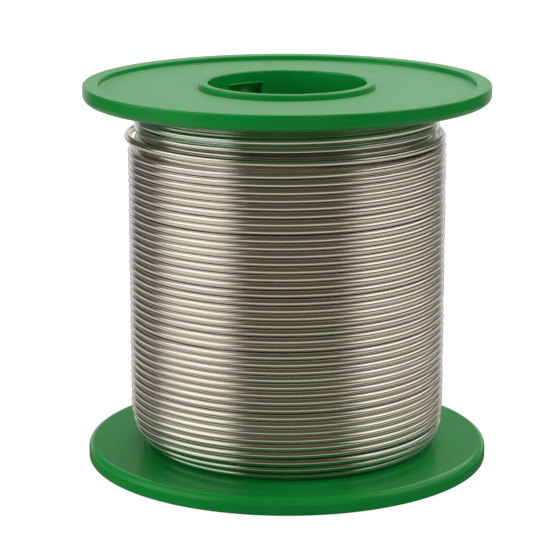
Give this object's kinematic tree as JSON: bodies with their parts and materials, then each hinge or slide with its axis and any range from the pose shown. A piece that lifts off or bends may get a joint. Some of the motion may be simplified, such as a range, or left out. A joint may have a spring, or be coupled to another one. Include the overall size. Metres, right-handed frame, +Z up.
{
  "type": "solder wire spool",
  "caption": "Reel of solder wire: two round flanges with recessed webs on a bored barrel, wound full of bright wire laid side by side.",
  "frame": {"origin": "middle of the lower flange's outer face, which the reel stands on", "axes": "+Z up the bore, from the lower flange to the upper one; -Y towards the viewer, +X to the viewer's right; the start slot opens into the bore at the back, left of +Y"},
  "size_m": [0.055, 0.055, 0.052],
  "materials": {
    "reel_plastic": "smooth moulded polystyrene, semi-gloss",
    "solder_wire": "bright drawn tin solder",
    "flux": "amber rosin"
  },
  "bodies": {
    "root": {"lower_flange": "reel_plastic", "upper_flange": "reel_plastic", "barrel": "reel_plastic", "inner_winding": "solder_wire", "outer_winding": "solder_wire", "upper_turns": "solder_wire", "wire_start": "solder_wire", "free_end": "solder_wire", "flux_core": "flux"}
  },
  "joints": []
}
